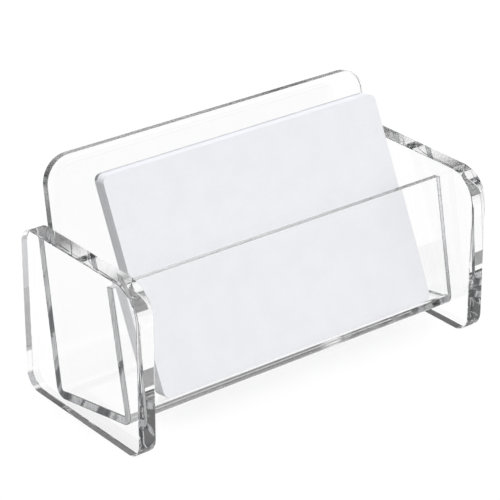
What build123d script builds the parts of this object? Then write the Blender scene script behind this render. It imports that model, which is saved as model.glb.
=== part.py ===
from build123d import *
import math
import os

# Desk stand for business cards: two thick clear end plates, one thin clear sheet bent
# twice into a trough between them, and a stack of blank cards that lift out one by one.
# Millimetres. +X runs to the right, +Y to the back and +Z up. The origin lies on the
# table, under the middle of the end plates.

# Cards
card_width = 85.0
card_height = 55.0
card_thickness = 0.35
card_corner_radius = 2.0
card_count = 10
card_gap = 0.02
card_lean = 25.0
stack_shift = 2.3

# Room around the stack
side_room = 7.0
foot_room = 1.75
foot_clearance = 0.03
top_room = 5.9

# Trough, bent from one sheet: front lip, floor and back panel, with angles in degrees
sheet_thickness = 2.2
bend_inside_radius = 0.8
floor_tilt = 9.7
back_lean = 8.2
lip_lean = 11.0
back_length = 58.1
lip_length = 32.5
back_corner_radius = 7.0
table_clearance = 1.35
cement_film = 0.05

# End plates
plate_thickness = 4.8
plate_height = 44.0
plate_front_margin = 8.3
plate_back_margin = 2.15
front_top_radius = 8.4
plate_corner_radius = 4.7
edge_ease = 0.25

# Sizes that follow from the ones above
inner_width = card_width + 2 * side_room
trough_width = inner_width - 2 * cement_film
bend_outside_radius = bend_inside_radius + sheet_thickness
card_pitch = card_thickness + card_gap
foot_step = card_pitch / math.cos(math.radians(card_lean - floor_tilt))


def upward(lean):
    """Side view direction that stands upright, leaned back by an angle."""
    return Vector(math.sin(math.radians(lean)), math.cos(math.radians(lean)))


def backward(lean):
    """Side view direction square to upward(lean), pointing to the back."""
    return Vector(math.cos(math.radians(lean)), -math.sin(math.radians(lean)))


def moved_corner(corner, first_normal, second_normal, distance):
    """Corner where two faces meet after both move along their normals."""
    both = first_normal + second_normal
    return corner + both * (distance / (1 + first_normal.dot(second_normal)))


# Directions that the sheet's faces look, away from the cards
floor_out = upward(floor_tilt) * -1
back_out = backward(back_lean)
lip_out = backward(lip_lean) * -1
floor_run = backward(floor_tilt)


def card_foot(index):
    """Lower back edge of a card, from the trough's inner front corner."""
    along_floor = floor_run * (foot_room + index * foot_step)
    return along_floor - floor_out * foot_clearance


# The floor is as long as the leaning stack and its top room need
last_card_top = card_foot(card_count - 1) + upward(card_lean) * card_height
floor_length = (last_card_top.dot(back_out) + top_room) / floor_run.dot(back_out)

# Trough section in the side view, from its inner front corner
back_corner = floor_run * floor_length
back_rim = back_corner + upward(back_lean) * back_length
back_rim_behind = back_rim + back_out * sheet_thickness
lip_rim = upward(lip_lean) * lip_length
lip_rim_ahead = lip_rim + lip_out * sheet_thickness
back_bend_centre = moved_corner(back_corner, floor_out, back_out, -bend_inside_radius)

# Place of that inner front corner: the plates' depth covers the trough, and the
# underside of the back bend stands clear of the table
plate_depth = plate_front_margin + back_rim_behind.X + plate_back_margin
lip_corner = Vector(
    plate_front_margin - plate_depth / 2,
    table_clearance + bend_outside_radius - back_bend_centre.Y,
)


def rounded(outline, corner, radius):
    """Outline with the vertex nearest to a corner rounded off."""
    vertex = outline.vertices().sort_by_distance(corner)[0]
    return fillet(vertex, radius)


def end_plate(side):
    """Clear plate with polished, eased edges; side is -1 for left and 1 for right."""
    front = -plate_depth / 2
    back = plate_depth / 2
    outline = Pos(0, plate_height / 2) * Rectangle(plate_depth, plate_height)
    outline = rounded(outline, Vector(front, plate_height), front_top_radius)
    for corner in (Vector(front, 0), Vector(back, 0), Vector(back, plate_height)):
        outline = rounded(outline, corner, plate_corner_radius)
    centre_plane = Plane.YZ.offset(side * (inner_width + plate_thickness) / 2)
    plate = extrude(centre_plane * outline, plate_thickness / 2, both=True)
    broad_faces = plate.faces().filter_by(Axis.X)
    return chamfer(broad_faces.edges(), edge_ease)


def card_trough():
    """Thin sheet bent into a lip, a floor and a back panel with round top corners."""
    lip_bend = Vector(0, 0)
    lip_bend_outside = moved_corner(lip_bend, lip_out, floor_out, sheet_thickness)
    back_bend_outside = moved_corner(back_corner, floor_out, back_out, sheet_thickness)
    section = make_face(
        Polyline(
            lip_rim,
            lip_bend,
            back_corner,
            back_rim,
            back_rim_behind,
            back_bend_outside,
            lip_bend_outside,
            lip_rim_ahead,
            close=True,
        )
    )
    for bend in (lip_bend, back_corner):
        section = rounded(section, bend, bend_inside_radius)
    for bend in (lip_bend_outside, back_bend_outside):
        section = rounded(section, bend, bend_outside_radius)
    section = Pos(lip_corner.X, lip_corner.Y) * section
    trough = extrude(Plane.YZ * section, trough_width / 2, both=True)
    rim_middle = lip_corner + (back_rim + back_rim_behind) / 2
    top_corners = [
        trough.edges().sort_by_distance(Vector(x, rim_middle.X, rim_middle.Y))[0]
        for x in (-trough_width / 2, trough_width / 2)
    ]
    return fillet(top_corners, back_corner_radius)


def card(index):
    """Blank card with round corners, standing on the trough's floor."""
    foot = lip_corner + card_foot(index)
    middle = foot + upward(card_lean) * (card_height / 2)
    back_face = Plane(
        origin=(stack_shift, middle.X, middle.Y),
        x_dir=(1, 0, 0),
        z_dir=(0, backward(card_lean).X, backward(card_lean).Y),
    )
    outline = RectangleRounded(card_width, card_height, card_corner_radius)
    return extrude(back_face * outline, -card_thickness)


os.makedirs("parts", exist_ok=True)
export_step(end_plate(-1), "parts/left_end_plate.step")
export_step(end_plate(1), "parts/right_end_plate.step")
export_step(card_trough(), "parts/card_trough.step")
for index in range(card_count):
    export_step(card(index), f"parts/card_{index + 1:02d}.step")
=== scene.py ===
import math
import bmesh
import bpy
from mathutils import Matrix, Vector


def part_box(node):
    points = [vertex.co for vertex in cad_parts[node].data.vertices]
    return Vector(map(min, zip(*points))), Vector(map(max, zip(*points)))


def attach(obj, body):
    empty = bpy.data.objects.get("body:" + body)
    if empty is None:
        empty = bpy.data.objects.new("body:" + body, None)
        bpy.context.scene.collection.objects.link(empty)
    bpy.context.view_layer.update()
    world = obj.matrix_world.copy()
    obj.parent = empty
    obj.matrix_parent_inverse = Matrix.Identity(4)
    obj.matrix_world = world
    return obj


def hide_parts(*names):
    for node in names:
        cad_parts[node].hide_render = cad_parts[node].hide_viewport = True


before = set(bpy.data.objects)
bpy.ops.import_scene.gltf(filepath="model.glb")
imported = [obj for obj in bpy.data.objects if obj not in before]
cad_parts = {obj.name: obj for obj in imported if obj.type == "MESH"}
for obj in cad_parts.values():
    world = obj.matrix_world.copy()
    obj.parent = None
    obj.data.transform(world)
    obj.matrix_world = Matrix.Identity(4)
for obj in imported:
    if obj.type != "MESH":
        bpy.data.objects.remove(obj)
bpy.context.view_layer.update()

# Lengths are metres, worked out from real millimetres, and angles are degrees
MM = 0.001

# Bent sheet, the same sizes as its solid
SHEET_THICKNESS = 2.2 * MM
BEND_INSIDE_RADIUS = 0.8 * MM
BACK_LEAN = 8.2
BACK_LENGTH = 58.1 * MM
BACK_CORNER_RADIUS = 7.0 * MM
FLOOR_TILT = 9.7
FLOOR_LENGTH = 27.007 * MM
LIP_LEAN = 11.0
LIP_LENGTH = 32.5 * MM
SHEET_EASE = 0.20 * MM

# End plates
FRONT_TOP_RADIUS = 8.4 * MM
PLATE_CORNER_RADIUS = 4.7 * MM
PLATE_EASE = 0.25 * MM

# Cement joints between the sheet's ends and the plates
SEAM_BITE = 0.01 * MM
BEAD_WIDTH = 0.16 * MM

# Cards
CARD_LEAN = 25.0
CARD_THICKNESS = 0.35 * MM
CARD_CORNER_RADIUS = 2.0 * MM
CARD_NAMES = sorted(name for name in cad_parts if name.startswith("card_") and name[-2:].isdigit())

# Fineness of the rounded forms, and how faces and edges are told apart
CORNER_STEPS = 24
BEND_STEPS = 16
EASE_STEPS = 2
SHARP_ANGLE = 20.0
RIM_ANGLE = 60.0
FACING = 0.9
SAME_LENGTH = 0.02
FLAT_WEIGHT = 100

# Noise: how many finer layers it has, and how strong they are
SOFT_DETAIL = 1.0
SOME_DETAIL = 2.0
FINE_DETAIL = 3.0
EDGE_GRAIN = 0.4
BAND_GRAIN = 0.5
FLECK_GRAIN = 0.6
FELT_GRAIN = 0.6

# Acrylic: wiping marks on the faces, ripple and haze on the edges
ACRYLIC = "#FFFFFF"
ACRYLIC_IOR = 1.49
WIPE_MARK = 14 * MM
WIPE_FROM = 0.45
WIPE_FULL = 0.75
WIPE_HAZE = 0.012
EDGE_RIPPLE = 10 * MM
PLATE_RIPPLE_DEPTH = 0.05 * MM
SHEET_RIPPLE_DEPTH = 0.008 * MM
PLATE_EDGE_HAZE = 0.0
SHEET_EDGE_HAZE = 0.2

# Cement film: bands from dark to pale along its run, a veil of upright streaks, paler where it drained
CEMENT_DARK = "#2A2E33"
CEMENT_GREY = "#83878C"
CEMENT_PALE = "#FBFCFD"
CEMENT_DARK_END = 0.44
CEMENT_GREY_AT = 0.48
CEMENT_PALE_FROM = 0.53
CEMENT_ROUGHNESS = 0.35
CEMENT_COVER = 0.85
CEMENT_CLEAR_COVER = 0.08
CEMENT_FLECK = 0.7 * MM
CEMENT_FRAY = 2.2 * MM
CEMENT_BAND = 5 * MM
CEMENT_RUN = (0, 1.0, 0.55)
CEMENT_STREAK = 0.5 * MM
CEMENT_STREAK_STRETCH = 0.1
CEMENT_VEIL = 0.35
CEMENT_VEIL_FROM = 0.42
CEMENT_VEIL_END = 0.58
CEMENT_DRAIN = (0, -0.7, 1.0)
CEMENT_POOL_TOP = 12 * MM
CEMENT_DRAINED = 30 * MM
CEMENT_THINNING = 0.16

# Cement bead: how bubbles pale it and thin it
BUBBLE_FROM = 0.40
BUBBLE_PALE = 0.60
BUBBLE_THIN = 0.62
BEAD_COVER = 0.9
BEAD_THIN_COVER = 0.4

# Card stock: clouds and fibres on the faces; on the cut edges streaks, a grey of painted shade between the
# cards and a painted shade line along the top of the last cards
CARD_WHITE = "#F5F6FA"
CARD_SHADE = "#F2F3F7"
CARD_ROUGHNESS = 0.75
CARD_CLOUD = 6 * MM
CARD_FIBRE = 0.5 * MM
CARD_FIBRE_DEPTH = 0.01 * MM
CARD_MOTTLE_FROM = 0.14
CARD_MOTTLE_FULL = 0.36
# The cut edges' tone varies card by card at random; both tones are greyer than the card faces as painted
# shade between the cards
CARD_CUT_PALE = "#ECEDF0"
CARD_CUT_DARK = "#DDDEE2"
CARD_CUT_ROUGHNESS = 0.9
CARD_CUT_STREAK = 0.4 * MM
CARD_CUT_FROM = 0.35
CARD_CUT_FULL = 0.65
# Painted shade: a dark grey line along the top edges of the last cards, where shade falls behind the top of
# the stack
PAINTED_SHADE_LINE = "#5E6065"
PAINTED_SHADE_LINE_DEPTH = 1.05 * MM
PAINTED_SHADE_LINE_HEIGHT = 0.5 * MM

# Studio: levels of light, where 1 is white, and the directions they reach, as parts of a unit vector.
# Paper is lit by an even room. Clear acrylic mirrors darker walls, which draw its edges.
WHITE = (1, 1, 1, 1)
PAPER_ROOM = {
    "low": 0.75,
    "backdrop": 0.75,
    "back": 0.75,
    "high": 1.40,
    "left": 0.0,
    "right": 0.5,
    "front": 2.2,
    "above": 1.60,
    "above_from": 0.50,
    "above_full": 0.80,
}
ACRYLIC_ROOM = {
    "low": 0.05,
    "backdrop": 1.0,
    "back": 0.04,
    "high": 0.12,
    "left": 0.08,
    "right": 0.30,
    "front": 0.80,
    "above": 1.20,
    "above_from": 0.80,
    "above_full": 0.93,
}
ABOVE_AXIS = (0.0, 0.1, 0.995)
FRONT_LIGHT_FROM = 0.25
FRONT_LIGHT_FULL = -0.35
HIGH_FROM = 0.38
HIGH_FULL = 0.52
LEFT_FROM = 0.28
LEFT_FULL = 0.50
RIGHT_FROM = 0.60
RIGHT_FULL = 0.75
BACKDROP_FOOT = 0.195
BACKDROP_LOW = 0.210
BACKDROP_TOP = 0.240
BACKDROP_END = 0.255
LIGHT_BOUNCES = 64

# Floor: white to the eye, in shade beneath the stand for light that turned inside the acrylic,
# and painted paler behind the stack, a painted pool of light for the light it throws on the cards' backs
FLOOR_HALF_WIDTH = 3.0
FLOOR_DROP = 0.05 * MM
FLOOR_COLOUR = "#F8F8F8"
FLOOR_LIFT = 0.76
FLOOR_SHADE_COLOUR = "#989898"
SIDE_SKIRT = 6 * MM
REAR_SKIRT = 10 * MM
ANY_TURN = 0.5
FEW_TURNS = 2.5
FEW_SURFACES = 3.5
TROUGH_SHADE = 0.20
REAR_SHADE_FROM = 5 * MM
REAR_SHADE_FULL = 9 * MM
FOOT_SHADE = 1.0
FOOT_SHADE_FROM = 8 * MM
FOOT_SHADE_END = 22 * MM
# A painted pool of light on the floor behind the stack, seen only by light bounced off paper
PAINTED_BOUNCE_COLOUR = "#F4F4F4"
PAINTED_BOUNCE_FROM = 10 * MM
PAINTED_BOUNCE_FULL = 30 * MM

# Camera: where it stands round the object, and its lens and sensor in millimetres
CAMERA_AZIMUTH = -38.22
CAMERA_ELEVATION = 25.98
CAMERA_DISTANCE = 0.61318
CAMERA_LEFT = 0.002207
CAMERA_RISE = 0.02695
CAMERA_NEAR = 0.01
CAMERA_LENS = 174.2
CAMERA_SENSOR = 36


def linear(hex_colour):
    """A colour written as sRGB hex, in linear light."""
    channels = [int(hex_colour[place:place + 2], 16) / 255 for place in (1, 3, 5)]
    return [c / 12.92 if c <= 0.04045 else ((c + 0.055) / 1.055) ** 2.4 for c in channels] + [1.0]


def node(tree, kind, sockets=None, **settings):
    """Add one node with its settings. Sockets maps an input to a value or to an output."""
    made = tree.nodes.new(kind)
    for name, value in settings.items():
        setattr(made, name, value)
    for name, value in (sockets or {}).items():
        if isinstance(value, bpy.types.NodeSocket):
            tree.links.new(value, made.inputs[name])
        else:
            made.inputs[name].default_value = value
    return made


def new_material(name):
    """An empty material and its node tree."""
    material = bpy.data.materials.new(name)
    material.use_nodes = True
    material.node_tree.nodes.clear()
    return material, material.node_tree


def cast_acrylic_face():
    """Cast acrylic as it leaves the mould: water clear, glass smooth, with faint wiping marks."""
    material, tree = new_material("cast_acrylic_face")
    place = node(tree, "ShaderNodeTexCoord")
    wipe = node(tree, "ShaderNodeTexNoise", {
        "Vector": place.outputs["Object"], "Scale": 1 / WIPE_MARK, "Detail": FINE_DETAIL})
    haze = node(tree, "ShaderNodeMapRange", {
        "Value": wipe.outputs["Fac"], "From Min": WIPE_FROM, "From Max": WIPE_FULL,
        "To Min": 0.0, "To Max": WIPE_HAZE})
    surface = node(tree, "ShaderNodeBsdfPrincipled", {
        "Base Color": linear(ACRYLIC),
        "Roughness": haze.outputs[0],
        "IOR": ACRYLIC_IOR,
        "Transmission Weight": 1.0,
    })
    node(tree, "ShaderNodeOutputMaterial", {"Surface": surface.outputs["BSDF"]})
    return material


def flame_polished_edge(name, ripple_depth, haze):
    """Sawn edge polished with a flame: bright, but gently rippled along its length."""
    material, tree = new_material(name)
    place = node(tree, "ShaderNodeTexCoord")
    ripple = node(tree, "ShaderNodeTexNoise", {
        "Vector": place.outputs["Object"], "Scale": 1 / EDGE_RIPPLE,
        "Detail": SOFT_DETAIL, "Roughness": EDGE_GRAIN})
    relief = node(tree, "ShaderNodeBump", {
        "Strength": 1.0, "Distance": ripple_depth, "Height": ripple.outputs["Fac"]})
    surface = node(tree, "ShaderNodeBsdfPrincipled", {
        "Base Color": linear(ACRYLIC),
        "Roughness": haze,
        "IOR": ACRYLIC_IOR,
        "Transmission Weight": 1.0,
        "Normal": relief.outputs["Normal"],
    })
    node(tree, "ShaderNodeOutputMaterial", {"Surface": surface.outputs["BSDF"]})
    return material


def dried_cement_film(name, drained_cover):
    """Cement dried in the joint: milky and streaked, with dark bands where it drew back from the sheet."""
    material, tree = new_material(name)
    place = node(tree, "ShaderNodeTexCoord")
    fleck = node(tree, "ShaderNodeTexNoise", {
        "Vector": place.outputs["Object"], "Scale": 1 / CEMENT_FLECK,
        "Detail": FINE_DETAIL, "Roughness": FLECK_GRAIN})
    run = node(tree, "ShaderNodeVectorMath", {
        0: place.outputs["Object"], 1: CEMENT_RUN}, operation="DOT_PRODUCT")
    frayed = node(tree, "ShaderNodeMath", {
        0: fleck.outputs["Fac"], 1: CEMENT_FRAY, 2: run.outputs["Value"]}, operation="MULTIPLY_ADD")
    bands = node(tree, "ShaderNodeTexNoise", {
        "W": frayed.outputs[0], "Scale": 1 / CEMENT_BAND, "Detail": SOFT_DETAIL, "Roughness": BAND_GRAIN},
        noise_dimensions="1D")
    height = node(tree, "ShaderNodeVectorMath", {
        0: place.outputs["Object"], 1: CEMENT_DRAIN}, operation="DOT_PRODUCT")
    drained = node(tree, "ShaderNodeMapRange", {
        "Value": height.outputs["Value"], "From Min": CEMENT_POOL_TOP, "From Max": CEMENT_DRAINED,
        "To Min": 0.0, "To Max": CEMENT_THINNING})
    paleness = node(tree, "ShaderNodeMath", {
        0: bands.outputs["Fac"], 1: drained.outputs[0]}, operation="ADD")
    shade = node(tree, "ShaderNodeValToRGB", {"Fac": paleness.outputs[0]})
    shade.color_ramp.elements[0].position = CEMENT_DARK_END
    shade.color_ramp.elements[0].color = linear(CEMENT_DARK)
    shade.color_ramp.elements[1].position = CEMENT_PALE_FROM
    shade.color_ramp.elements[1].color = linear(CEMENT_PALE)
    middle = shade.color_ramp.elements.new(CEMENT_GREY_AT)
    middle.color = linear(CEMENT_GREY)
    drawn_out = node(tree, "ShaderNodeMapping", {
        "Vector": place.outputs["Object"], "Scale": (1, 1, CEMENT_STREAK_STRETCH)})
    streak = node(tree, "ShaderNodeTexNoise", {
        "Vector": drawn_out.outputs[0], "Scale": 1 / CEMENT_STREAK, "Detail": SOME_DETAIL})
    veil = node(tree, "ShaderNodeMapRange", {
        "Value": streak.outputs["Fac"], "From Min": CEMENT_VEIL_FROM, "From Max": CEMENT_VEIL_END,
        "To Min": CEMENT_VEIL, "To Max": 0.0})
    colour = node(tree, "ShaderNodeMix", {
        0: veil.outputs[0], 6: shade.outputs["Color"], 7: linear(CEMENT_GREY)}, data_type="RGBA")
    cover = node(tree, "ShaderNodeMapRange", {
        "Value": height.outputs["Value"], "From Min": CEMENT_POOL_TOP, "From Max": CEMENT_DRAINED,
        "To Min": CEMENT_COVER, "To Max": drained_cover})
    surface = node(tree, "ShaderNodeBsdfPrincipled", {
        "Base Color": colour.outputs[2],
        "Roughness": CEMENT_ROUGHNESS,
        "Alpha": cover.outputs[0],
    })
    node(tree, "ShaderNodeOutputMaterial", {"Surface": surface.outputs["BSDF"]})
    return material


def dried_cement_bead():
    """Fine line of cement squeezed out along both sides of the joint, broken by tiny bubbles."""
    material, tree = new_material("dried_cement_bead")
    place = node(tree, "ShaderNodeTexCoord")
    bubble = node(tree, "ShaderNodeTexNoise", {
        "Vector": place.outputs["Object"], "Scale": 1 / CEMENT_FLECK,
        "Detail": FINE_DETAIL, "Roughness": FLECK_GRAIN})
    tint = node(tree, "ShaderNodeMapRange", {
        "Value": bubble.outputs["Fac"], "From Min": BUBBLE_FROM, "From Max": BUBBLE_PALE,
        "To Min": 0.0, "To Max": 1.0})
    colour = node(tree, "ShaderNodeMix", {
        0: tint.outputs[0], 6: linear(CEMENT_DARK), 7: linear(CEMENT_GREY)}, data_type="RGBA")
    cover = node(tree, "ShaderNodeMapRange", {
        "Value": bubble.outputs["Fac"], "From Min": BUBBLE_FROM, "From Max": BUBBLE_THIN,
        "To Min": BEAD_COVER, "To Max": BEAD_THIN_COVER})
    surface = node(tree, "ShaderNodeBsdfPrincipled", {
        "Base Color": colour.outputs[2],
        "Roughness": CEMENT_ROUGHNESS,
        "Alpha": cover.outputs[0],
    })
    node(tree, "ShaderNodeOutputMaterial", {"Surface": surface.outputs["BSDF"]})
    return material


def uncoated_card():
    """Uncoated white card: matt and even, with a soft felt of fibres, drawn coarser than life to show."""
    material, tree = new_material("uncoated_card")
    place = node(tree, "ShaderNodeTexCoord")
    cloud = node(tree, "ShaderNodeTexNoise", {
        "Vector": place.outputs["Object"], "Scale": 1 / CARD_CLOUD, "Detail": SOME_DETAIL})
    felt = node(tree, "ShaderNodeTexNoise", {
        "Vector": place.outputs["Object"], "Scale": 1 / CARD_FIBRE,
        "Detail": FINE_DETAIL, "Roughness": FELT_GRAIN})
    mottle = node(tree, "ShaderNodeMath", {
        0: cloud.outputs["Fac"], 1: felt.outputs["Fac"]}, operation="MULTIPLY")
    spread = node(tree, "ShaderNodeMapRange", {
        "Value": mottle.outputs[0], "From Min": CARD_MOTTLE_FROM, "From Max": CARD_MOTTLE_FULL,
        "To Min": 0.0, "To Max": 1.0})
    colour = node(tree, "ShaderNodeMix", {
        0: spread.outputs[0], 6: linear(CARD_SHADE), 7: linear(CARD_WHITE)}, data_type="RGBA")
    relief = node(tree, "ShaderNodeBump", {
        "Strength": 1.0, "Distance": CARD_FIBRE_DEPTH, "Height": felt.outputs["Fac"]})
    surface = node(tree, "ShaderNodeBsdfPrincipled", {
        "Base Color": colour.outputs[2],
        "Roughness": CARD_ROUGHNESS,
        "Normal": relief.outputs["Normal"],
    })
    node(tree, "ShaderNodeOutputMaterial", {"Surface": surface.outputs["BSDF"]})
    return material


def guillotined_card_edge():
    """Edges cut by guillotine: greyer than the faces as painted shade between the cards, streaked card by
    card, with a painted shade line along the top of the last cards.
    """
    material, tree = new_material("guillotined_card_edge")
    place = node(tree, "ShaderNodeTexCoord")
    through = node(tree, "ShaderNodeVectorMath", {
        0: place.outputs["Object"], 1: backward(CARD_LEAN)}, operation="DOT_PRODUCT")
    cut = node(tree, "ShaderNodeTexNoise", {
        "W": through.outputs["Value"], "Scale": 1 / CARD_CUT_STREAK, "Detail": SOME_DETAIL},
        noise_dimensions="1D")
    spread = node(tree, "ShaderNodeMapRange", {
        "Value": cut.outputs["Fac"], "From Min": CARD_CUT_FROM, "From Max": CARD_CUT_FULL,
        "To Min": 0.0, "To Max": 1.0})
    streaked = node(tree, "ShaderNodeMix", {
        0: spread.outputs[0], 6: linear(CARD_CUT_DARK), 7: linear(CARD_CUT_PALE)}, data_type="RGBA")
    # Painted shade: the top edges of the last cards darken to a dark grey line
    stack_back = max(card_foot(name).dot(backward(CARD_LEAN)) for name in CARD_NAMES) + CARD_THICKNESS
    last = node(tree, "ShaderNodeMath", {
        0: through.outputs["Value"], 1: stack_back - PAINTED_SHADE_LINE_DEPTH}, operation="GREATER_THAN")
    along = node(tree, "ShaderNodeVectorMath", {
        0: place.outputs["Object"], 1: upward(CARD_LEAN)}, operation="DOT_PRODUCT")
    stack_top = card_top(CARD_NAMES[0]).dot(upward(CARD_LEAN))
    top = node(tree, "ShaderNodeMath", {
        0: along.outputs["Value"], 1: stack_top - PAINTED_SHADE_LINE_HEIGHT}, operation="GREATER_THAN")
    painted_shade_line = node(tree, "ShaderNodeMath", {0: last.outputs[0], 1: top.outputs[0]}, operation="MULTIPLY")
    colour = node(tree, "ShaderNodeMix", {
        0: painted_shade_line.outputs[0], 6: streaked.outputs[2], 7: linear(PAINTED_SHADE_LINE)}, data_type="RGBA")
    surface = node(tree, "ShaderNodeBsdfPrincipled", {
        "Base Color": colour.outputs[2],
        "Roughness": CARD_CUT_ROUGHNESS,
    })
    node(tree, "ShaderNodeOutputMaterial", {"Surface": surface.outputs["BSDF"]})
    return material


def upward(lean):
    """Upright in the side view, leaned back by an angle."""
    return Vector((0, math.sin(math.radians(lean)), math.cos(math.radians(lean))))


def backward(lean):
    """To the back, square to a panel with that lean."""
    return Vector((0, math.cos(math.radians(lean)), -math.sin(math.radians(lean))))


def card_foot(node_name):
    """Front lower edge of a card, in the side view."""
    low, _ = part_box(node_name)
    return Vector((0, low.y, low.z + CARD_THICKNESS * math.sin(math.radians(CARD_LEAN))))


def card_top(node_name):
    """Front upper edge of a card, in the side view."""
    foot = card_foot(node_name)
    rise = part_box(node_name)[1].z - foot.z
    return foot + upward(CARD_LEAN) * rise / upward(CARD_LEAN).z


def finished(bm, name, materials, body):
    """Turn a bmesh into a piece with smooth rounds and crisp edges, riding on a body."""
    bmesh.ops.recalc_face_normals(bm, faces=bm.faces)
    for face in bm.faces:
        face.smooth = True
    for edge in bm.edges:
        edge.smooth = edge.calc_face_angle(0) < math.radians(SHARP_ANGLE)
    mesh = bpy.data.meshes.new(name)
    bm.to_mesh(mesh)
    bm.free()
    for material in materials:
        mesh.materials.append(material)
    piece = bpy.data.objects.new(name, mesh)
    bpy.context.scene.collection.objects.link(piece)
    normals = piece.modifiers.new("true_flats", "WEIGHTED_NORMAL")
    normals.keep_sharp = True
    normals.weight = FLAT_WEIGHT
    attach(piece, body)
    return piece


def extrude_all(bm, offset):
    """Give a flat outline its thickness."""
    grown = bmesh.ops.extrude_face_region(bm, geom=bm.faces[:])
    moved = [item for item in grown["geom"] if isinstance(item, bmesh.types.BMVert)]
    bmesh.ops.translate(bm, verts=moved, vec=offset)
    bmesh.ops.recalc_face_normals(bm, faces=bm.faces)


def mark_edge_faces(bm, thickness):
    """Give the narrow faces, as wide as the sheet is thick, the piece's second material."""
    slack = SAME_LENGTH * thickness
    for face in bm.faces:
        across = [edge for edge in face.edges if abs(edge.calc_length() - thickness) < slack]
        face.material_index = 1 if len(across) >= 2 else 0


def round_corner(bm, vert, radius):
    """Round one corner of a flat outline."""
    bmesh.ops.bevel(bm, geom=[vert], offset=radius, offset_type="OFFSET", affect="VERTICES",
                    segments=CORNER_STEPS, profile=0.5, material=-1)


def ease_edges(bm, edges, width):
    """Take the sharpness off edges with a small round."""
    bmesh.ops.bevel(bm, geom=edges, offset=width, offset_type="OFFSET", affect="EDGES",
                    segments=EASE_STEPS, profile=0.5, material=-1)


def end_plate(node_name):
    """A thick upright plate, rounded most at its front top corner."""
    low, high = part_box(node_name)
    bm = bmesh.new()
    corners = (
        (low.y, low.z, PLATE_CORNER_RADIUS),
        (high.y, low.z, PLATE_CORNER_RADIUS),
        (high.y, high.z, PLATE_CORNER_RADIUS),
        (low.y, high.z, FRONT_TOP_RADIUS),
    )
    verts = [bm.verts.new((low.x, y, z)) for y, z, _ in corners]
    bm.faces.new(verts)
    for vert, (_, _, radius) in zip(verts, corners):
        round_corner(bm, vert, radius)
    extrude_all(bm, Vector((high.x - low.x, 0, 0)))
    mark_edge_faces(bm, high.x - low.x)
    rims = [edge for edge in bm.edges if any(abs(face.normal.x) > FACING for face in edge.link_faces)]
    ease_edges(bm, rims, PLATE_EASE)
    plate = finished(bm, "polished_" + node_name, [acrylic_face, plate_edge], "holder")
    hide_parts(node_name)


def bent_sheet(left, right):
    """The sheet's inner side, bent twice, between two places along the width."""
    _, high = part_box("card_trough")
    back_rim = Vector((0, high.y, high.z)) - backward(BACK_LEAN).y * Vector((0, SHEET_THICKNESS, 0))
    back_bend = back_rim - upward(BACK_LEAN) * BACK_LENGTH
    lip_bend = back_bend - backward(FLOOR_TILT) * FLOOR_LENGTH
    lip_rim = lip_bend + upward(LIP_LEAN) * LIP_LENGTH
    bm = bmesh.new()
    side_view = (lip_rim, lip_bend, back_bend, back_rim)
    line = [bm.verts.new(point + Vector((left, 0, 0))) for point in side_view]
    edges = [bm.edges.new(pair) for pair in zip(line, line[1:])]
    grown = bmesh.ops.extrude_edge_only(bm, edges=edges)
    moved = [item for item in grown["geom"] if isinstance(item, bmesh.types.BMVert)]
    bmesh.ops.translate(bm, verts=moved, vec=(right - left, 0, 0))
    return bm


def fold_sheet(bm):
    """Round both bends and give the sheet its thickness on the outer side."""
    bends = [edge for edge in bm.edges if len(edge.link_faces) == 2]
    for bend in bends:
        setback = BEND_INSIDE_RADIUS * math.tan(bend.calc_face_angle() / 2)
        bmesh.ops.bevel(bm, geom=[bend], offset=setback, offset_type="OFFSET", affect="EDGES",
                        segments=BEND_STEPS, profile=0.5, material=-1)
    bmesh.ops.recalc_face_normals(bm, faces=bm.faces)
    if any(face.normal.z < -FACING for face in bm.faces):
        bmesh.ops.reverse_faces(bm, faces=bm.faces)
    bmesh.ops.solidify(bm, geom=bm.faces[:], thickness=SHEET_THICKNESS)


def card_trough():
    """The thin sheet bent into lip, floor and back panel, with round top corners."""
    low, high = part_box("card_trough")
    bm = bent_sheet(low.x, high.x)
    corners = [vert for vert in bm.verts if vert.co.z > high.z - SHEET_THICKNESS]
    for vert in corners:
        round_corner(bm, vert, BACK_CORNER_RADIUS)
    fold_sheet(bm)
    bmesh.ops.recalc_face_normals(bm, faces=bm.faces)
    mark_edge_faces(bm, SHEET_THICKNESS)
    rims = [edge for edge in bm.edges if edge.calc_face_angle(0) > math.radians(RIM_ANGLE)]
    ease_edges(bm, rims, SHEET_EASE)
    trough = finished(bm, "bent_sheet_trough", [acrylic_face, sheet_edge], "holder")
    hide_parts("card_trough")


def cement_seam(side, plate_name, cement):
    """The cemented joint between one end of the trough and its plate, as far up as the plate goes."""
    trough_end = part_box("card_trough")[1].x - SEAM_BITE
    plate_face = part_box("right_end_plate")[0].x + SEAM_BITE
    bm = bent_sheet(side * trough_end, side * plate_face)
    fold_sheet(bm)
    plate_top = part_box(plate_name)[1].z - PLATE_EASE
    geom = bm.verts[:] + bm.edges[:] + bm.faces[:]
    cut = bmesh.ops.bisect_plane(bm, geom=geom, plane_co=(0, 0, plate_top), plane_no=(0, 0, 1),
                                 clear_outer=True)
    open_edges = [item for item in cut["geom_cut"] if isinstance(item, bmesh.types.BMEdge)]
    bmesh.ops.holes_fill(bm, edges=open_edges)
    bmesh.ops.recalc_face_normals(bm, faces=bm.faces)
    for face in bm.faces:
        face.material_index = 1
    film = [face for face in bm.faces if abs(face.normal.x) > FACING]
    for face in film:
        face.material_index = 0
    border = bmesh.ops.inset_region(bm, faces=film, thickness=BEAD_WIDTH, use_even_offset=True)
    for face in border["faces"]:
        face.material_index = 1
    finished(bm, "cement_seam_" + plate_name.split("_")[0], [cement, cement_line], "holder")


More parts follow.
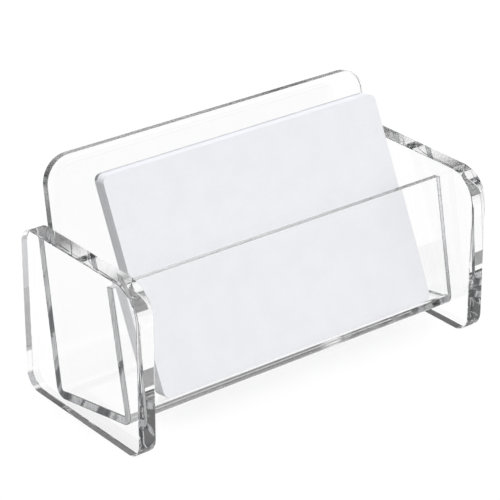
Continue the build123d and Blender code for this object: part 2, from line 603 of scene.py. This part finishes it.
def business_card(node_name):
    """One blank card with round corners, leaning in the stack."""
    low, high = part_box(node_name)
    foot = card_foot(node_name)
    top = card_top(node_name)
    bm = bmesh.new()
    corners = ((low.x, foot), (high.x, foot), (high.x, top), (low.x, top))
    verts = [bm.verts.new(Vector((x, 0, 0)) + point) for x, point in corners]
    bm.faces.new(verts)
    for vert in verts:
        round_corner(bm, vert, CARD_CORNER_RADIUS)
    extrude_all(bm, backward(CARD_LEAN) * CARD_THICKNESS)
    mark_edge_faces(bm, CARD_THICKNESS)
    card = finished(bm, "blank_" + node_name, [paper, paper_edge], node_name)
    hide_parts(node_name)


def room_light(tree, levels):
    """Level of light by direction: walls, a bright front, a softbox above and a low strip of backdrop."""
    place = node(tree, "ShaderNodeTexCoord")
    axes = node(tree, "ShaderNodeSeparateXYZ", {"Vector": place.outputs["Generated"]})
    overhead = node(tree, "ShaderNodeVectorMath", {
        0: place.outputs["Generated"], 1: ABOVE_AXIS}, operation="DOT_PRODUCT")
    light = levels["back"]
    for along, start, full, level in (
        (axes.outputs["Y"], FRONT_LIGHT_FROM, FRONT_LIGHT_FULL, "front"),
        (axes.outputs["Z"], HIGH_FROM, HIGH_FULL, "high"),
        (axes.outputs["X"], -LEFT_FROM, -LEFT_FULL, "left"),
        (axes.outputs["X"], RIGHT_FROM, RIGHT_FULL, "right"),
        (overhead.outputs["Value"], levels["above_from"], levels["above_full"], "above"),
        (axes.outputs["Z"], BACKDROP_END, BACKDROP_TOP, "backdrop"),
        (axes.outputs["Z"], BACKDROP_LOW, BACKDROP_FOOT, "low"),
    ):
        light = node(tree, "ShaderNodeMapRange", {
            "Value": along, "From Min": start, "From Max": full, "To Min": light, "To Max": levels[level]},
            interpolation_type="SMOOTHSTEP").outputs[0]
    return light


def studio_light():
    """White to the camera, one room for what the acrylic mirrors and bends, another for paper."""
    world = bpy.data.worlds.new("studio")
    bpy.context.scene.world = world
    world.use_nodes = True
    tree = world.node_tree
    tree.nodes.clear()
    path = node(tree, "ShaderNodeLightPath")
    clear = node(tree, "ShaderNodeMath", {
        0: path.outputs["Is Glossy Ray"], 1: path.outputs["Is Transmission Ray"]}, operation="MAXIMUM")
    mirrored = node(tree, "ShaderNodeMath", {
        0: clear.outputs[0], 1: path.outputs["Diffuse Depth"]}, operation="SUBTRACT", use_clamp=True)
    level = node(tree, "ShaderNodeMix", {
        0: mirrored.outputs[0], 2: room_light(tree, PAPER_ROOM), 3: room_light(tree, ACRYLIC_ROOM)})
    light = node(tree, "ShaderNodeBackground", {"Color": WHITE, "Strength": level.outputs[0]})
    white = node(tree, "ShaderNodeBackground", {"Color": WHITE, "Strength": 1.0})
    mix = node(tree, "ShaderNodeMixShader", {
        0: path.outputs["Is Camera Ray"], 1: light.outputs[0], 2: white.outputs[0]})
    node(tree, "ShaderNodeOutputWorld", {"Surface": mix.outputs[0]})


def floor_shade(tree, path, axes, across):
    """How far the floor lies in shade: always for light from paper, and beneath the stand for light that
    turned inside the acrylic, by place and number of turns. That draws the dark bends and feet."""
    low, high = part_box("right_end_plate")
    within = node(tree, "ShaderNodeMath", {
        0: axes.outputs["X"], 1: -SIDE_SKIRT / 2, 2: high.x + SIDE_SKIRT / 2}, operation="COMPARE")
    between = node(tree, "ShaderNodeMath", {
        0: axes.outputs["Y"], 1: REAR_SKIRT / 2, 2: high.y + REAR_SKIRT / 2}, operation="COMPARE")
    beneath = node(tree, "ShaderNodeMath", {
        0: within.outputs[0], 1: between.outputs[0]}, operation="MULTIPLY")
    turned = node(tree, "ShaderNodeMath", {
        0: path.outputs["Glossy Depth"], 1: ANY_TURN}, operation="GREATER_THAN")
    reached = node(tree, "ShaderNodeMath", {
        0: beneath.outputs[0], 1: turned.outputs[0]}, operation="MULTIPLY")
    under_plate = node(tree, "ShaderNodeMath", {0: across.outputs[0], 1: low.x}, operation="GREATER_THAN")
    foot_shade = node(tree, "ShaderNodeMapRange", {
        "Value": axes.outputs["Y"], "From Min": FOOT_SHADE_FROM, "From Max": FOOT_SHADE_END,
        "To Min": FOOT_SHADE, "To Max": 0.0}, interpolation_type="SMOOTHSTEP")
    few_turns = node(tree, "ShaderNodeMath", {
        0: path.outputs["Glossy Depth"], 1: FEW_TURNS}, operation="LESS_THAN")
    deep = node(tree, "ShaderNodeMath", {
        0: path.outputs["Transmission Depth"], 1: FEW_SURFACES}, operation="GREATER_THAN")
    ahead = node(tree, "ShaderNodeMath", {0: axes.outputs["Y"], 1: high.y}, operation="LESS_THAN")
    mirrored = node(tree, "ShaderNodeMath", {0: deep.outputs[0], 1: ahead.outputs[0]}, operation="MULTIPLY")
    guided = node(tree, "ShaderNodeMapRange", {
        "Value": axes.outputs["Y"], "From Min": REAR_SHADE_FROM, "From Max": REAR_SHADE_FULL,
        "To Min": TROUGH_SHADE, "To Max": 1.0}, interpolation_type="SMOOTHSTEP")
    trough_shade = node(tree, "ShaderNodeMix", {
        0: few_turns.outputs[0], 2: guided.outputs[0], 3: mirrored.outputs[0]})
    depth = node(tree, "ShaderNodeMix", {
        0: under_plate.outputs[0], 2: trough_shade.outputs[0], 3: foot_shade.outputs[0]})
    turned_shade = node(tree, "ShaderNodeMath", {
        0: reached.outputs[0], 1: depth.outputs[0]}, operation="MULTIPLY")
    shade = node(tree, "ShaderNodeMath", {
        0: turned_shade.outputs[0], 1: path.outputs["Diffuse Depth"]}, operation="MAXIMUM")
    return shade.outputs[0]


def shaded_floor_colour(tree, path, axes, across):
    """Grey shade, with a painted pool of light behind the stack for light from paper, so that the cards'
    backs aren't dull.
    """
    # Painted pool of light: the floor is paler behind the stack for light bounced off paper
    painted_bounce = node(tree, "ShaderNodeMapRange", {
        "Value": axes.outputs["Y"], "From Min": PAINTED_BOUNCE_FROM, "From Max": PAINTED_BOUNCE_FULL,
        "To Min": 0.0, "To Max": 1.0}, interpolation_type="SMOOTHSTEP")
    rear_bounce = node(tree, "ShaderNodeMath", {
        0: painted_bounce.outputs[0], 1: path.outputs["Diffuse Depth"]}, operation="MULTIPLY")
    stack_side = -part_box(CARD_NAMES[0])[0].x
    behind_stack = node(tree, "ShaderNodeMath", {
        0: across.outputs[0], 1: stack_side}, operation="LESS_THAN")
    lit = node(tree, "ShaderNodeMath", {
        0: rear_bounce.outputs[0], 1: behind_stack.outputs[0]}, operation="MULTIPLY", use_clamp=True)
    colour = node(tree, "ShaderNodeMix", {
        0: lit.outputs[0], 6: linear(FLOOR_SHADE_COLOUR), 7: linear(PAINTED_BOUNCE_COLOUR)}, data_type="RGBA")
    return colour.outputs[2]


def white_paper_sweep():
    """Matt white paper, lifted to nearly pure white for the eye, so that only soft shadows show on it."""
    material, tree = new_material("white_paper_sweep")
    path = node(tree, "ShaderNodeLightPath")
    place = node(tree, "ShaderNodeTexCoord")
    axes = node(tree, "ShaderNodeSeparateXYZ", {"Vector": place.outputs["Object"]})
    across = node(tree, "ShaderNodeMath", {0: axes.outputs["X"]}, operation="ABSOLUTE")
    outside = node(tree, "ShaderNodeMath", {
        0: path.outputs["Is Camera Ray"], 1: path.outputs["Is Glossy Ray"]}, operation="MAXIMUM")
    looked_at = node(tree, "ShaderNodeMath", {
        0: outside.outputs[0], 1: path.outputs["Is Transmission Ray"]}, operation="MAXIMUM")
    seen = node(tree, "ShaderNodeMath", {
        0: looked_at.outputs[0], 1: floor_shade(tree, path, axes, across)}, operation="SUBTRACT",
        use_clamp=True)
    strength = node(tree, "ShaderNodeMapRange", {
        "Value": path.outputs["Is Camera Ray"], "To Min": 1.0, "To Max": FLOOR_LIFT})
    lift = node(tree, "ShaderNodeMath", {0: seen.outputs[0], 1: strength.outputs[0]}, operation="MULTIPLY")
    tone = node(tree, "ShaderNodeMix", {
        0: seen.outputs[0], 6: shaded_floor_colour(tree, path, axes, across), 7: linear(FLOOR_COLOUR)},
        data_type="RGBA")
    matt = node(tree, "ShaderNodeBsdfDiffuse", {"Color": tone.outputs[2]})
    white = node(tree, "ShaderNodeEmission", {"Color": WHITE, "Strength": 1.0})
    mix = node(tree, "ShaderNodeMixShader", {0: lift.outputs[0], 1: matt.outputs[0], 2: white.outputs[0]})
    node(tree, "ShaderNodeOutputMaterial", {"Surface": mix.outputs[0]})
    return material


def floor_sweep():
    """The table the stand is pictured on."""
    bm = bmesh.new()
    bmesh.ops.create_grid(bm, x_segments=1, y_segments=1, size=FLOOR_HALF_WIDTH)
    bmesh.ops.translate(bm, verts=bm.verts, vec=(0, 0, -FLOOR_DROP))
    mesh = bpy.data.meshes.new("floor")
    bm.to_mesh(mesh)
    bm.free()
    mesh.materials.append(white_paper_sweep())
    floor = bpy.data.objects.new("floor", mesh)
    bpy.context.scene.collection.objects.link(floor)


def long_light_paths():
    """Light runs a long way inside clear sheet before it leaves at an edge."""
    cycles = bpy.context.scene.cycles
    cycles.max_bounces = LIGHT_BOUNCES
    cycles.transmission_bounces = LIGHT_BOUNCES
    cycles.glossy_bounces = LIGHT_BOUNCES
    cycles.blur_glossy = 0.0


def camera():
    """A long lens from the front left, looking down a little."""
    azimuth = math.radians(CAMERA_AZIMUTH)
    elevation = math.radians(CAMERA_ELEVATION)
    back = Vector((math.sin(azimuth) * math.cos(elevation), -math.cos(azimuth) * math.cos(elevation),
                   math.sin(elevation)))
    right = Vector((math.cos(azimuth), math.sin(azimuth), 0))
    up = back.cross(right)
    data = bpy.data.cameras.new("camera")
    data.lens = CAMERA_LENS
    data.sensor_width = CAMERA_SENSOR
    data.clip_start = CAMERA_NEAR
    cam = bpy.data.objects.new("camera", data)
    cam.location = back * CAMERA_DISTANCE - right * CAMERA_LEFT + up * CAMERA_RISE
    cam.rotation_mode = "QUATERNION"
    cam.rotation_quaternion = (-back).to_track_quat("-Z", "Y")
    bpy.context.scene.collection.objects.link(cam)
    bpy.context.scene.camera = cam


acrylic_face = cast_acrylic_face()
plate_edge = flame_polished_edge("flame_polished_plate_edge", PLATE_RIPPLE_DEPTH, PLATE_EDGE_HAZE)
sheet_edge = flame_polished_edge("flame_polished_sheet_edge", SHEET_RIPPLE_DEPTH, SHEET_EDGE_HAZE)
left_cement = dried_cement_film("streaked_cement_film", CEMENT_COVER)
right_cement = dried_cement_film("clean_cement_film", CEMENT_CLEAR_COVER)
cement_line = dried_cement_bead()
paper = uncoated_card()
paper_edge = guillotined_card_edge()
end_plate("left_end_plate")
end_plate("right_end_plate")
card_trough()
cement_seam(-1, "left_end_plate", left_cement)
cement_seam(1, "right_end_plate", right_cement)
for card_name in CARD_NAMES:
    business_card(card_name)
studio_light()
floor_sweep()
long_light_paths()
camera()
bpy.context.scene.view_settings.view_transform = "Standard"
